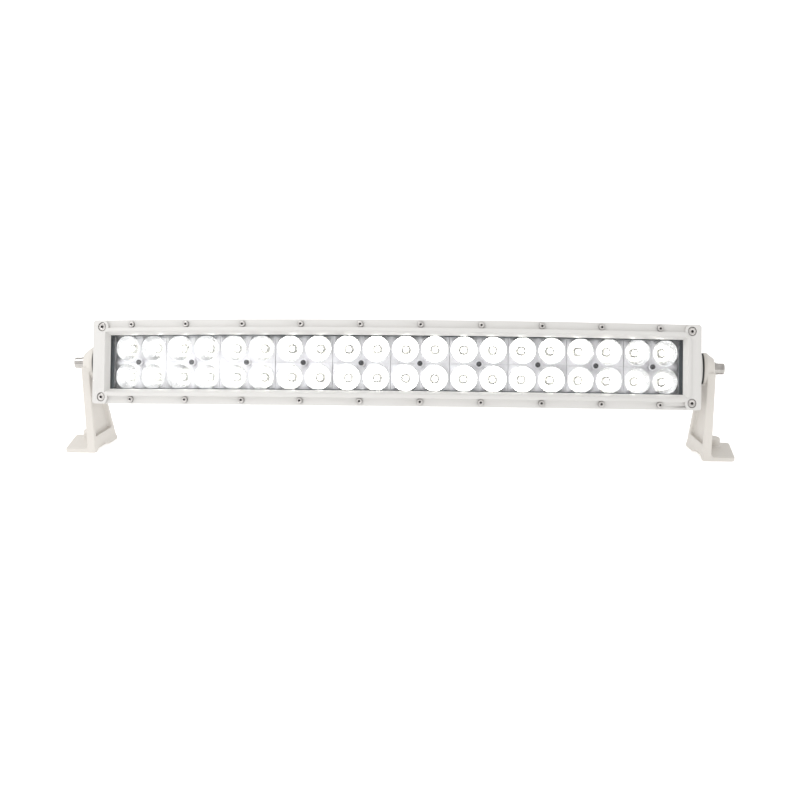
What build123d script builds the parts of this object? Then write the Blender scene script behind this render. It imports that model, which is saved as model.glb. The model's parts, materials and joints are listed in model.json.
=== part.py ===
from build123d import *
import math
import os

os.makedirs("parts", exist_ok=True)

# A curved double-row LED light bar that stands on two cast side brackets.
# X runs along the bar, -Y is the way it shines, Z is up. The origin is on the mounting
# plane, midway between the two foot bolts. All sizes are in millimetres.
#
# The bar is drawn level, about a frame whose X axis is the tilt axis, and its section is
# swept round an upright arc axis. Places on the bar are given by an angle from the middle,
# a depth behind the front face and a height above the centre line.

# bar, overall
FRONT_RADIUS = 1000.0        # radius of the front face's arc
END_MARGIN = 16.5            # from the last cup's cell to the end of the front face
EDGE_MARGIN = 12.1           # from a cup's cell to the bar's top or bottom
BAR_DEPTH = 78.0
REST_TILT = 20.0             # how far the face looks up at rest, in degrees
PIVOT_HEIGHT = 83.0          # tilt axis above the mounting plane
PIVOT_DEPTH = 28.0           # tilt axis behind the front face, at the ends

# front bezel
BEZEL_DEPTH = 12.0
STRIP_LEVEL = 1.0            # the flat of the bezel, behind the lip's crest
LEDGE_LEVEL = 3.2            # the screw ledges, behind the lip's crest
LEDGE_WIDTH = 6.9
STRIP_WIDTH = 9.5            # flat strip at each end, outside the lip
LIP_WIDTH = 6.5
LIP_SLOPE = 3.4              # part of the lip that slopes in to the lens
LIP_CORNER = 9.0
LIP_EDGE = 0.6
BEZEL_CORNER = 2.5
SCREW_ISLAND = 6.4           # radius of the raised wall round a corner screw

# lens and its seal
LENS_DEPTH = 5.6             # front face of the lens
LENS_THICKNESS = 3.0
LENS_REBATE = 4.6            # how far the lens reaches under the lip
LENS_CLEARANCE = 0.3
LENS_CORNER = 3.0
SEAL_WIDTH = 2.2
SEAL_FLANGE = 1.2            # thickness of the seal's flange behind the lens
SEAL_SHOWS = (2.2, 0.8)      # flange seen inside the window, at its ends and its long sides

# lamps
LED_PITCH = 25.4
LED_COLUMNS = 20
MODULE_COLUMNS = 2           # columns of cups on each reflector
MODULE_GAP = 0.3
REFLECTOR_DEPTH = 12.7       # front face of the reflectors
REFLECTOR_THICKNESS = 10.3
REFLECTOR_END = 1.6          # rim of the outermost blocks, past their last cups
MODULE_BOSS = (3.4, 2.5)     # radius and height of the boss under each block's screw
CUP_MOUTH_RADIUS = 11.2
CUP_THROAT_RADIUS = 3.9
CUP_BULGE = 0.6              # how far a cup's wall bows out from a straight cone
BOARD_THICKNESS = 1.6
LED_SIDE = 5.0
LED_BASE = 1.0
LED_DOME_RADIUS = 2.1
PAD_THICKNESS = 0.5
PAD_CLEARANCE = 0.05
PAD_INSET = 1.0
PAD_GAP = 0.8                # between neighbouring pads

# housing
SKIN_INSET = 1.0             # housing outline inside the bezel outline
MOUTH_CLEARANCE = 0.8        # housing mouth above the top row's cells
MOUTH_FLANGE = 6.0           # thickness of the flange behind the bezel
WALL = 3.0
BACK_WALL = 4.5
DUCT_HALF_HEIGHT = 13.0      # closed duct behind the boards
DUCT_DEPTH = 15.0
DUCT_WALL = 2.5
DUCT_LID_GAP = 1.5           # past the block, where the duct is cleared again
FIN_COUNT = 9
FIN_THICKNESS = 2.2
FIN_TIP_THINNING = 0.7
FIN_CROWN = 13.0             # how much shorter the outer fins are
SCREW_PORT_RADIUS = 4.2

# end caps
CAP_LENGTH = 14.0
CAP_POCKET = 8.0
CAP_WALL = 6.5
CAP_EDGE = 1.2
CAP_SEAL = 1.0
CAP_SEAL_INSET = 0.6
CAP_SEAL_LAP = 1.5           # how far the seal reaches in past the cap's wall
CAP_SCREW_FRONT = (23.0, 6.5)     # depth, and distance in from the housing's skin
CAP_SCREW_BACK = (58.0, 12.5)
CAP_SCREW_GRIP = 12.0

# screws: shank radius, head radius, head height, socket across flats
RAIL_SCREW = (1.5, 2.75, 1.7, 2.0)
CORNER_SCREW = (2.0, 3.6, 2.3, 2.5)
MODULE_SCREW = (1.25, 2.3, 1.5, 1.5)
CAP_SCREW = (2.0, 4.0, 2.2, 2.5)
PIVOT_SCREW = (3.0, 5.0, 6.0, 5.0)
THREAD_CLEARANCE = 0.02
RAIL_SCREW_EDGE = 4.0        # in from the bar's top or bottom
RAIL_SCREW_MARGIN = 37.7     # from the last screw to the end of the front face
RAIL_SCREW_GRIP = 4.5
CORNER_SCREW_EDGE = 5.9
CORNER_SCREW_INSET = 8.6
CORNER_SCREW_SINK = 2.4
CORNER_SCREW_BORE = 4.1
CORNER_SCREW_GRIP = 9.0
MODULE_SCREW_GRIP = 3.0

# tilt joint
BOSS_RADIUS = 14.0
BOSS_LENGTH = 10.0           # boss proud of the cap, measured on the axis
BOSS_ROOT_GAP = 3.0          # from the boss's root to the end seal
JOINT_PAD = 1.5
HUB_LENGTH = 10.0
HUB_RIM = 3.0                # cylindrical part of the hub, before its cone
HUB_RADIUS = 14.5
HUB_NOSE_RADIUS = 9.0
WASHER_RADIUS = 6.0
WASHER_THICKNESS = 1.6
SPRING_RADIUS = 5.2
SPRING_THICKNESS = 1.7
SPRING_SLIT = 1.0
RUNNING_CLEARANCE = 0.05
PIVOT_SCREW_GRIP = 16.0
BOSS_CLEARANCE = 1.2

# brackets
ARM_THICKNESS = 7.0
ARM_INSET = 1.0              # arm's inner face inside the hub's, at the axis
ARM_BASE_DEPTH = 39.5
ARM_NECK_BACK = 3.5          # back edge of the arm where it meets the hub
ARM_POCKET = 3.6
ARM_RIM = 3.4
ARM_POCKET_FLOOR = 15.0
ARM_POCKET_TOP = 58.0
ARCH_WIDTH = 21.0
ARCH_HEIGHT = 4.6
ARCH_FRONT = 4.0
FOOT_BEYOND_HUB = 31.4       # foot's outer edge past the hub's inner face
FOOT_THICKNESS = 4.0
FOOT_CORNER = 3.0
FOOT_BOLT_BEYOND_HUB = 15.2  # foot bolt past the hub's inner face
FOOT_BOLT_BEHIND_AXIS = 17.5
FOOT_BOSS_RADIUS = 6.5
FOOT_BOSS_HEIGHT = 11.4
FOOT_BOSS_EDGE = 1.2

# threaded insert in each foot's boss, for an M8 bolt from below
INSERT_LENGTH = 10.0
INSERT_RADIUS = 5.0
INSERT_CHAMFER = 0.5
INSERT_THREAD_RADIUS = 3.4

# driver, in the duct
DRIVER_LENGTH = 92.0
DRIVER_COUNT = 4
DRIVER_GAP = 21.0            # between neighbouring driver boards
DRIVER_THICKNESS = 1.6
DRIVER_STANDOFF = 1.9        # board's front face off the duct's floor, at its middle
DRIVER_CLEARANCE = 0.2       # between a board's edge and the duct's wall
COIL_RADIUS = 4.6
COIL_HEIGHT = 6.5
COIL_PLACES = ((-26, 4), (26, -4))
CAPACITOR_RADIUS = 3.6
CAPACITOR_LENGTH = 9.0
CAPACITOR_PLACES = ((-12, -6), (12, 6))
CHIP_SIZE = (9.0, 7.0, 1.8)

# cable gland and breather, on a block among the fins
BLOCK_ANGLE = -0.15
BLOCK_SIZE = (58.0, 25.0)
BLOCK_BACK = 58.0
BLOCK_GAP = 3.0
GLAND_OFFSET = 13.0
GLAND_THREAD_RADIUS = 6.0
GLAND_HEX = 15.0
GLAND_FLANGE = 5.0
GLAND_NECK = 6.0
GLAND_NECK_WALL = 1.0
GLAND_CAP_LENGTH = 9.0
GLAND_CAP_CROWN = 3.0
GLAND_CABLE_RADIUS = 3.3
GLAND_SEAL_RADIUS = 4.6
GLAND_SEAL_PROUD = 1.0       # seal past the neck, inside the cap nut
CORNER_RELIEF = 0.9          # how far a hexagon's corners stand past its inscribed circle
VENT_RADIUS = 6.5
VENT_THREAD_RADIUS = 4.0
VENT_HEIGHT = 4.0
VENT_MOUTH_DEPTH = 1.0
MEMBRANE_RADIUS = 3.0
MEMBRANE_THICKNESS = 0.4
MEMBRANE_SEAT = 0.8          # width of the ledge that the membrane lies on
THREAD_SHORTFALL = 0.5       # gland and vent threads stop short of the duct

# derived places
LAMP_RADIUS = FRONT_RADIUS - REFLECTOR_DEPTH - REFLECTOR_THICKNESS / 2
FRONT_ARC = LED_COLUMNS * LED_PITCH * FRONT_RADIUS / LAMP_RADIUS + 2 * END_MARGIN
BAR_HEIGHT = 2 * (LED_PITCH + EDGE_MARGIN)
MOUTH_HALF_HEIGHT = LED_PITCH + MOUTH_CLEARANCE
END_ANGLE = FRONT_ARC / 2 / FRONT_RADIUS
ARC_CENTRE_Y = (FRONT_RADIUS - PIVOT_DEPTH) * math.cos(END_ANGLE)
END_X = (FRONT_RADIUS - PIVOT_DEPTH) * math.sin(END_ANGLE)
BOSS_FACE = END_X + BOSS_LENGTH
HUB_FACE = BOSS_FACE + JOINT_PAD
HUB_NOSE = HUB_FACE + HUB_LENGTH
LIP_HALF_HEIGHT = BAR_HEIGHT / 2 - LEDGE_WIDTH
WINDOW_HALF_HEIGHT = LIP_HALF_HEIGHT - LIP_WIDTH
LIP_END = FRONT_ARC / 2 - STRIP_WIDTH
WINDOW_END = LIP_END - LIP_WIDTH
BOARD_DEPTH = REFLECTOR_DEPTH + REFLECTOR_THICKNESS
MODULE_SEAT = REFLECTOR_DEPTH - MODULE_BOSS[1]
WALL_DEPTH = BOARD_DEPTH + BOARD_THICKNESS + PAD_THICKNESS + PAD_CLEARANCE
FIN_ROOT = WALL_DEPTH + BACK_WALL
DUCT_BACK = FIN_ROOT + DUCT_DEPTH
SKIN_HALF_HEIGHT = BAR_HEIGHT / 2 - SKIN_INSET
MODULE_ANGLE = MODULE_COLUMNS * LED_PITCH / LAMP_RADIUS
MODULE_COUNT = LED_COLUMNS // MODULE_COLUMNS
MODULE_ANGLES = [(i - (MODULE_COUNT - 1) / 2) * MODULE_ANGLE for i in range(MODULE_COUNT)]
HOUSING_END = END_ANGLE - (CAP_LENGTH + CAP_SEAL) / FRONT_RADIUS
CAP_START = END_ANGLE - CAP_LENGTH / FRONT_RADIUS
RAIL_SCREW_PITCH = (FRONT_ARC - 2 * RAIL_SCREW_MARGIN) / (MODULE_COUNT - 1)
RAIL_SCREW_HEIGHT = BAR_HEIGHT / 2 - RAIL_SCREW_EDGE
CORNER_SCREW_HEIGHT = BAR_HEIGHT / 2 - CORNER_SCREW_EDGE
CORNER_SCREW_ANGLE = END_ANGLE - CORNER_SCREW_INSET / FRONT_RADIUS
CAP_SCREWS = [(depth, SKIN_HALF_HEIGHT - inset) for depth, inset in (CAP_SCREW_FRONT, CAP_SCREW_BACK)]
FOOT_REACH = round(HUB_FACE + FOOT_BEYOND_HUB)
FOOT_BOLT_HALF_SPACING = round(HUB_FACE + FOOT_BOLT_BEYOND_HUB)
DRIVER_RADIUS = FRONT_RADIUS - FIN_ROOT - DRIVER_STANDOFF
DRIVER_SPREAD = (DRIVER_LENGTH + DRIVER_GAP) / DRIVER_RADIUS
DRIVER_ANGLES = [(i - (DRIVER_COUNT - 1) / 2) * DRIVER_SPREAD for i in range(DRIVER_COUNT)]
DRIVER_FACE = FIN_ROOT + DRIVER_STANDOFF + DRIVER_THICKNESS
SIDES = (-1, 1)


def along(angle, depth):
    """Point on the bar's centre plane, at an angle from the middle and behind the face."""
    radius = FRONT_RADIUS - depth
    return (radius * math.sin(angle), ARC_CENTRE_Y - radius * math.cos(angle))


def station(angle, depth, height=0.0):
    """Plane on the bar that faces out of its front, with x along the bar and y up."""
    x, y = along(angle, depth)
    return Plane(origin=(x, y, height), x_dir=(math.cos(angle), math.sin(angle), 0),
                 z_dir=(math.sin(angle), -math.cos(angle), 0))


def end_station(side, angle, depth, height):
    """Plane across the bar near one end that faces out of that end, with y up."""
    x, y = along(side * angle, depth)
    out = Vector(side * math.cos(angle), math.sin(angle), 0)
    return Plane(origin=(x, y, height), x_dir=Vector(0, 0, 1).cross(out), z_dir=out)


def swept(section, start, finish):
    """Sweep a section, drawn with x as depth and y as height, round the arc axis."""
    turned = Plane(origin=(FRONT_RADIUS * math.sin(start),
                           ARC_CENTRE_Y - FRONT_RADIUS * math.cos(start), 0),
                   x_dir=(-math.sin(start), math.cos(start), 0),
                   z_dir=(math.cos(start), math.sin(start), 0))
    axis = Axis((0, ARC_CENTRE_Y, 0), (0, 0, 1))
    return revolve(turned * section, axis, math.degrees(finish - start))


def slab_section(near, far, half_height):
    """Rectangle between two depths."""
    return Pos((near + far) / 2, 0) * Rectangle(far - near, 2 * half_height)


def slab(near, far, half_height, half_angle, corner=0.0):
    """Curved plate between two depths, with its four corners rounded."""
    body = swept(slab_section(near, far, half_height), -half_angle, half_angle)
    if corner:
        thickness = far - near
        posts = [edge for edge in body.edges()
                 if abs(edge.length - thickness) < 0.01 and abs(edge.center().X) > END_X / 2]
        body = fillet(posts, corner)
    return body


def posed(shape):
    """Tilt a piece of the bar to its rest pose and lift it to the pivot."""
    place = Pos(0, -FOOT_BOLT_BEHIND_AXIS, PIVOT_HEIGHT) * Rot(-REST_TILT, 0, 0)
    return place * shape


def save(name, shapes):
    """Write one node as a compound of separate solids."""
    solids = [solid for shape in shapes for solid in shape.solids()]
    export_step(Compound(children=solids) if len(solids) > 1 else solids[0], f"parts/{name}.step")


def mirrored(shape):
    """The same piece for the other end."""
    return mirror(shape, about=Plane.YZ)


def socket_screw(spec, length, countersunk=False):
    """Screw along -Z with its head above Z = 0, or sunk flush with it."""
    shank_radius, head_radius, head_height, flats = spec
    if countersunk:
        head = Pos(0, 0, -head_height / 2) * Cone(shank_radius, head_radius, head_height)
        top = 0.0
    else:
        head = Pos(0, 0, head_height / 2) * Cylinder(head_radius, head_height)
        head = fillet(head.edges().group_by(Axis.Z)[-1], min(0.55 * head_height, 1.1))
        top = head_height
    shank = Pos(0, 0, -length / 2) * Cylinder(shank_radius, length)
    shank = chamfer(shank.edges().group_by(Axis.Z)[0], 0.3 * shank_radius)
    key = extrude(RegularPolygon(flats / 2, 6, major_radius=False), head_height)
    return head + shank - Pos(0, 0, top - 0.6 * head_height) * key


def hole(radius, length):
    """Hole cutter along -Z from a little above Z = 0."""
    return Pos(0, 0, (1 - length) / 2) * Cylinder(radius, length + 1)


# ---- front bezel ----------------------------------------------------------------------

def window_cutter():
    """Opening that narrows from the lip's crest to the lens on all four sides."""
    margin = 1.0
    spread = LIP_SLOPE * margin / LENS_DEPTH
    crest = WINDOW_HALF_HEIGHT + LIP_SLOPE + spread
    profile = Polygon((-margin, -crest), (-margin, crest), (LENS_DEPTH, WINDOW_HALF_HEIGHT),
                      (LENS_DEPTH, -WINDOW_HALF_HEIGHT), align=None)
    band = swept(profile, -END_ANGLE, END_ANGLE)
    front = along((WINDOW_END + LIP_SLOPE + spread) / FRONT_RADIUS, -margin)
    back = along(WINDOW_END / FRONT_RADIUS, LENS_DEPTH + margin)
    reach = FRONT_RADIUS / 4
    outline = Polygon((front[0], front[1]), (front[0], -reach), (-front[0], -reach),
                      (-front[0], front[1]), (-back[0], back[1]), (-back[0], reach),
                      (back[0], reach), (back[0], back[1]), align=None)
    return band & extrude(outline, BAR_HEIGHT, both=True)


def bezel():
    body = slab(STRIP_LEVEL, BEZEL_DEPTH, BAR_HEIGHT / 2, END_ANGLE, BEZEL_CORNER)
    ledge_half = (BAR_HEIGHT / 2 - LIP_HALF_HEIGHT) / 2
    for level in SIDES:
        middle = level * (LIP_HALF_HEIGHT + ledge_half)
        strip = Pos(LEDGE_LEVEL / 2, middle) * Rectangle(LEDGE_LEVEL, 2 * ledge_half + 0.02)
        body -= swept(strip, -CORNER_SCREW_ANGLE, CORNER_SCREW_ANGLE)
    island = LEDGE_LEVEL - STRIP_LEVEL
    for side in SIDES:
        for level in SIDES:
            place = station(side * CORNER_SCREW_ANGLE, LEDGE_LEVEL, level * CORNER_SCREW_HEIGHT)
            post = place * Pos(0, 0, island / 2) * Cylinder(SCREW_ISLAND, island)
            body += post & slab(STRIP_LEVEL, BEZEL_DEPTH, BAR_HEIGHT / 2, END_ANGLE, BEZEL_CORNER)
    lip = slab(0, LEDGE_LEVEL + 0.5, LIP_HALF_HEIGHT, LIP_END / FRONT_RADIUS, LIP_CORNER)
    lip = fillet(lip.faces().sort_by(Axis.Y)[0].outer_wire().edges(), LIP_EDGE)
    body += lip
    body -= window_cutter()
    rebate = WINDOW_HALF_HEIGHT + LENS_REBATE
    rebate_end = (WINDOW_END + LENS_REBATE) / FRONT_RADIUS
    body -= slab(LENS_DEPTH, BEZEL_DEPTH + 1, rebate, rebate_end, LENS_CORNER)
    for place in rail_screw_places():
        body -= place * hole(RAIL_SCREW[0] + THREAD_CLEARANCE, BEZEL_DEPTH)
    for place in corner_screw_places():
        body -= place * hole(CORNER_SCREW[0] + THREAD_CLEARANCE, BEZEL_DEPTH)
        body -= place * Pos(0, 0, CORNER_SCREW_SINK) * hole(CORNER_SCREW_BORE, CORNER_SCREW_SINK)
    return body


def rail_screw_places():
    count = MODULE_COUNT
    angles = [(i - (count - 1) / 2) * RAIL_SCREW_PITCH / FRONT_RADIUS for i in range(count)]
    return [station(angle, LEDGE_LEVEL, level * RAIL_SCREW_HEIGHT)
            for angle in angles for level in SIDES]


def corner_screw_places():
    depth = STRIP_LEVEL + CORNER_SCREW_SINK
    return [station(side * CORNER_SCREW_ANGLE, depth, level * CORNER_SCREW_HEIGHT)
            for side in SIDES for level in SIDES]


# ---- lens and seal --------------------------------------------------------------------

LENS_HALF_HEIGHT = WINDOW_HALF_HEIGHT + LENS_REBATE - LENS_CLEARANCE
LENS_END = (WINDOW_END + LENS_REBATE - LENS_CLEARANCE) / FRONT_RADIUS
LENS_BACK = LENS_DEPTH + LENS_THICKNESS


def lens():
    return slab(LENS_DEPTH, LENS_BACK, LENS_HALF_HEIGHT, LENS_END, LENS_CORNER)


def lens_seal():
    ring = slab(LENS_BACK, BEZEL_DEPTH, LENS_HALF_HEIGHT, LENS_END, LENS_CORNER)
    hollow = slab(LENS_BACK + SEAL_FLANGE, BEZEL_DEPTH + 1, LENS_HALF_HEIGHT - SEAL_WIDTH,
                  LENS_END - SEAL_WIDTH / FRONT_RADIUS)
    at_ends, at_sides = SEAL_SHOWS
    opening = slab(LENS_BACK - 1, BEZEL_DEPTH + 1, WINDOW_HALF_HEIGHT - at_sides,
                   (WINDOW_END - at_ends) / FRONT_RADIUS)
    return ring - hollow - opening


# ---- lamps ----------------------------------------------------------------------------

def lamp_offsets():
    half = LED_PITCH / 2
    return [(x, z) for x in (-half, half) for z in (-half, half)]


def reflector_module(end=0):
    """Block with four cups, its front face on Z = 0, with a rim on its outer end if it has one."""
    side = MODULE_COLUMNS * LED_PITCH - MODULE_GAP
    rim = abs(end) * REFLECTOR_END
    block = Pos(end * REFLECTOR_END / 2, 0, -REFLECTOR_THICKNESS / 2) * Box(side + rim, side,
                                                                           REFLECTOR_THICKNESS)
    radius, height = MODULE_BOSS
    block += Pos(0, 0, height / 2) * Cylinder(radius, height)
    mouth = (CUP_MOUTH_RADIUS, 0)
    throat = (CUP_THROAT_RADIUS, -REFLECTOR_THICKNESS)
    waist = ((mouth[0] + throat[0]) / 2 + CUP_BULGE, (mouth[1] + throat[1]) / 2 - CUP_BULGE)
    wall = ThreePointArc(mouth, waist, throat)
    rest = Polyline(throat, (0, -REFLECTOR_THICKNESS), (0, 0), mouth)
    profile = Plane.XZ * make_face(Curve() + wall + rest)
    cup = revolve(profile, Axis.Z, 360)
    for x, y in lamp_offsets():
        block -= Pos(x, y, 0) * cup
    bore = hole(MODULE_SCREW[0] + THREAD_CLEARANCE, height + REFLECTOR_THICKNESS + 1)
    return block - Pos(0, 0, height) * bore


def led_board():
    """Board for four lamps, its front face on Z = 0."""
    side = MODULE_COLUMNS * LED_PITCH - MODULE_GAP
    board = Pos(0, 0, -BOARD_THICKNESS / 2) * Box(side, side, BOARD_THICKNESS)
    return board - hole(MODULE_SCREW[0] + THREAD_CLEARANCE, BOARD_THICKNESS + 1)


def led_package():
    """One lamp with its dome, standing on Z = 0."""
    base = Pos(0, 0, LED_BASE / 2) * Box(LED_SIDE, LED_SIDE, LED_BASE)
    dome = Pos(0, 0, LED_BASE) * Sphere(LED_DOME_RADIUS, arc_size1=0, align=None)
    return base + dome


def thermal_pads():
    half = LED_PITCH * MODULE_COLUMNS / 2 - PAD_INSET
    near = BOARD_DEPTH + BOARD_THICKNESS + PAD_CLEARANCE
    gap = PAD_GAP / 2 / FRONT_RADIUS
    pads = []
    for angle in MODULE_ANGLES:
        pad = swept(slab_section(near, near + PAD_THICKNESS, half),
                    angle - MODULE_ANGLE / 2 + gap, angle + MODULE_ANGLE / 2 - gap)
        pads.append(pad - station(angle, near) * hole(MODULE_SCREW[0] + 0.2, 3))
    return pads


# ---- housing --------------------------------------------------------------------------

def fin_tip(height):
    return BAR_DEPTH - FIN_CROWN * (height / SKIN_HALF_HEIGHT) ** 2


def housing_section():
    """Extrusion section: mouth flange, walls, back wall, duct, screw ports and fins."""
    outer = slab_section(BEZEL_DEPTH, FIN_ROOT, SKIN_HALF_HEIGHT)
    mouth = slab_section(BEZEL_DEPTH, BEZEL_DEPTH + MOUTH_FLANGE, MOUTH_HALF_HEIGHT)
    cavity = slab_section(BEZEL_DEPTH + MOUTH_FLANGE, WALL_DEPTH, SKIN_HALF_HEIGHT - WALL)
    section = outer - mouth - cavity
    for i in range(FIN_COUNT):
        height = (i / (FIN_COUNT - 1) * 2 - 1) * (SKIN_HALF_HEIGHT - FIN_THICKNESS / 2)
        tip = fin_tip(height)
        root = FIN_THICKNESS / 2
        point = root - FIN_TIP_THINNING / 2
        section += Pos(0, height) * Polygon((FIN_ROOT - 1, -root), (FIN_ROOT - 1, root),
                                            (tip, point), (tip, -point), align=None)
    duct_outer = slab_section(FIN_ROOT, DUCT_BACK + DUCT_WALL, DUCT_HALF_HEIGHT + DUCT_WALL)
    section += duct_outer
    for depth, height in CAP_SCREWS:
        for level in SIDES:
            section += Pos(depth, level * height) * Circle(SCREW_PORT_RADIUS)
    return section - slab_section(FIN_ROOT, DUCT_BACK, DUCT_HALF_HEIGHT)


def housing():
    body = swept(housing_section(), -HOUSING_END, HOUSING_END)
    width, height = BLOCK_SIZE
    duct_outside = DUCT_BACK + DUCT_WALL
    place = station(BLOCK_ANGLE, duct_outside)
    reach = BAR_DEPTH - duct_outside + 2
    clearing = Box(width + 2 * BLOCK_GAP, height + 2 * BLOCK_GAP, reach)
    body -= place * Pos(0, 0, -reach / 2) * clearing
    thickness = BLOCK_BACK - duct_outside
    block = Pos(0, 0, (1 - thickness) / 2) * Box(width, height, thickness + 1)
    body += place * fillet(block.edges().filter_by(Axis.Z), 3)
    body -= duct_clearing()
    back = station(BLOCK_ANGLE, BLOCK_BACK)
    for offset, radius in ((-GLAND_OFFSET, GLAND_THREAD_RADIUS), (GLAND_OFFSET, VENT_THREAD_RADIUS)):
        drill = Cylinder(radius + THREAD_CLEARANCE, 2 * (BLOCK_BACK - DUCT_BACK) + 2)
        body -= back * Pos(offset, 0, 0) * drill
    for place in rail_screw_places():
        depth = BEZEL_DEPTH - LEDGE_LEVEL + RAIL_SCREW_GRIP
        body -= place * hole(RAIL_SCREW[0] + THREAD_CLEARANCE, depth)
    for angle in MODULE_ANGLES:
        depth = WALL_DEPTH - REFLECTOR_DEPTH + MODULE_SCREW_GRIP
        body -= station(angle, REFLECTOR_DEPTH) * hole(MODULE_SCREW[0] + THREAD_CLEARANCE, depth)
    for side in SIDES:
        for place in cap_screw_places(side):
            depth = CAP_LENGTH + CAP_SEAL + CAP_SCREW_GRIP + 1
            body -= place * hole(CAP_SCREW[0] + THREAD_CLEARANCE, depth)
    return body


def duct_clearing():
    """Keeps the duct open where the gland block joins it."""
    half = (BLOCK_SIZE[0] / 2 + DUCT_LID_GAP) / FRONT_RADIUS
    return swept(slab_section(FIN_ROOT, DUCT_BACK, DUCT_HALF_HEIGHT),
                 BLOCK_ANGLE - half, BLOCK_ANGLE + half)


# ---- end caps -------------------------------------------------------------------------

def cap_section(inset=0.0):
    """Outline of an end cap, which covers the fins."""
    section = slab_section(BEZEL_DEPTH + inset, BAR_DEPTH - inset, SKIN_HALF_HEIGHT - inset)
    back = section.vertices().group_by(Axis.X)[-1]
    return fillet(back, FIN_CROWN - inset)


def cap_screw_places(side):
    return [end_station(side, END_ANGLE, depth, level * height)
            for depth, height in CAP_SCREWS for level in SIDES]


def end_cap():
    """Cap for the +X end, with the boss that carries the bracket."""
    body = swept(cap_section(), CAP_START, END_ANGLE)
    out = Vector(math.cos(END_ANGLE), math.sin(END_ANGLE), 0)
    outside = body.faces().sort_by(lambda face: face.center().dot(out))[-1]
    body = chamfer(outside.edges().sort_by(Axis.Y)[1:], CAP_EDGE)
    pocket_end = CAP_START + CAP_POCKET / FRONT_RADIUS
    body -= swept(cap_section(CAP_WALL), CAP_START - 0.001, pocket_end)
    body += posts_for_screws(pocket_end)
    boss = Pos(END_X, 0, 0) * Rot(0, 90, 0) * Cylinder(BOSS_RADIUS, 2 * BOSS_LENGTH)
    body += boss - swept(slab_section(0, BAR_DEPTH, BAR_HEIGHT),
                         CAP_START - BOSS_LENGTH / FRONT_RADIUS,
                         CAP_START + BOSS_ROOT_GAP / FRONT_RADIUS)
    body -= Pos(BOSS_FACE, 0, 0) * Rot(0, 90, 0) * hole(PIVOT_SCREW[0] + THREAD_CLEARANCE,
                                                        PIVOT_SCREW_GRIP + 1)
    for place in cap_screw_places(1):
        body -= place * hole(CAP_SCREW[0] + THREAD_CLEARANCE, CAP_LENGTH + 2)
        sink = Pos(0, 0, -CAP_SCREW[2] / 2) * Cone(CAP_SCREW[0], CAP_SCREW[1], CAP_SCREW[2])
        body -= place * sink
    for place in corner_screw_places():
        depth = BEZEL_DEPTH - STRIP_LEVEL - CORNER_SCREW_SINK + CORNER_SCREW_GRIP
        body -= place * hole(CORNER_SCREW[0] + THREAD_CLEARANCE, depth)
    return body


def posts_for_screws(pocket_end):
    """Solid corners inside the pocket for the rear cap screws."""
    posts = None
    for level in SIDES:
        depth, height = CAP_SCREWS[1]
        disc = Pos(depth, level * height) * Circle(SCREW_PORT_RADIUS)
        post = swept(disc, CAP_START, pocket_end)
        posts = post if posts is None else posts + post
    return posts


def end_seal():
    """Flat seal between the +X cap and the housing."""
    ring = cap_section(CAP_SEAL_INSET) - cap_section(CAP_WALL - CAP_SEAL_LAP)
    seal = swept(ring, HOUSING_END, CAP_START)
    for place in cap_screw_places(1):
        seal -= place * hole(CAP_SCREW[0] + 0.3, CAP_LENGTH + 4)
    return seal


# ---- driver ---------------------------------------------------------------------------

def driver_boards():
    width = 2 * (DUCT_HALF_HEIGHT - DRIVER_CLEARANCE)
    board = Pos(0, 0, DRIVER_THICKNESS / 2) * Box(DRIVER_LENGTH, width, DRIVER_THICKNESS)
    return [station(angle, DRIVER_FACE) * board for angle in DRIVER_ANGLES]


def on_drivers(piece, offsets):
    """Stand a piece on the back of every driver board."""
    return [station(angle, DRIVER_FACE) * Pos(x, y, 0) * Rot(180, 0, 0) * piece
            for angle in DRIVER_ANGLES for x, y in offsets]


# ---- gland and vent -------------------------------------------------------------------

def on_block(offset):
    """Place on the back of the block, with Z pointing out of it."""
    return station(BLOCK_ANGLE, BLOCK_BACK) * Pos(offset, 0, 0) * Rot(180, 0, 0)


# ---- brackets -------------------------------------------------------------------------

def arm_plan(x_at_axis):
    """Vertical face parallel to the bar's end, as its X at a given Y."""
    return lambda y: x_at_axis - y * math.tan(END_ANGLE)


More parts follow.
